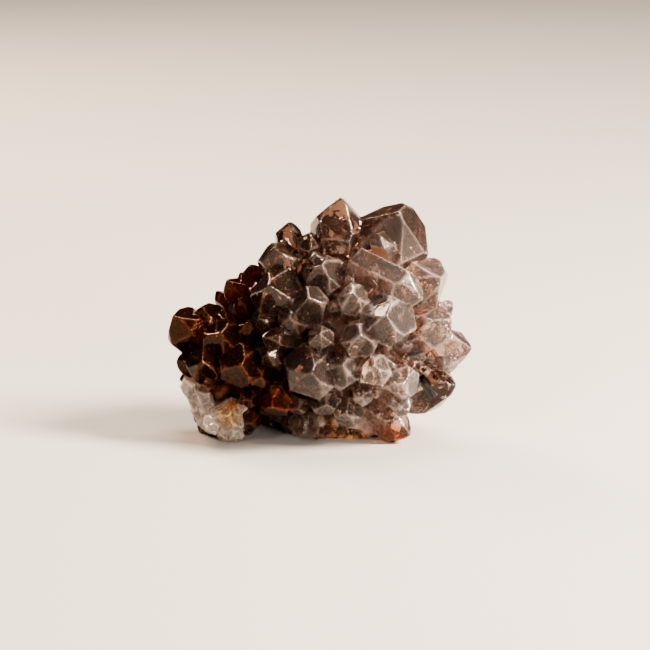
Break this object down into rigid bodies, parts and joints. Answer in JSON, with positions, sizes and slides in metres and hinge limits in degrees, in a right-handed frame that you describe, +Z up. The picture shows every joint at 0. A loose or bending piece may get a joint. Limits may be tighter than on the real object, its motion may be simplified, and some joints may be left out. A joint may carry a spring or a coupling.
{
  "type": "quartz crystal cluster on matrix",
  "caption": "Hand-sized mineral specimen: clear smoky quartz points grown in clusters over an iron-stained rock matrix that rests on a flat underside.",
  "frame": {"origin": "on the surface that the specimen rests on, under the middle of its bounding box", "axes": "+Z up, the show side with most crystals faces -Y, +X to the viewer's right"},
  "size_m": [0.0758, 0.0484, 0.0607],
  "materials": {
    "iron_stained_rock": "rough, rust-coloured broken rock",
    "smoky_quartz": "clear, pale smoky brown, glossy faces with worn edges",
    "dark_smoky_quartz": "clear, deep smoky brown, glossy faces",
    "milky_quartz": "cloudy white, satin",
    "iron_stained_quartz": "red-brown iron film on clear quartz"
  },
  "bodies": {
    "root": {"matrix": "iron_stained_rock", "right_cluster": "smoky_quartz", "left_cluster": "dark_smoky_quartz", "milky_crystals": "milky_quartz", "stained_crystals": "iron_stained_quartz"}
  },
  "joints": []
}
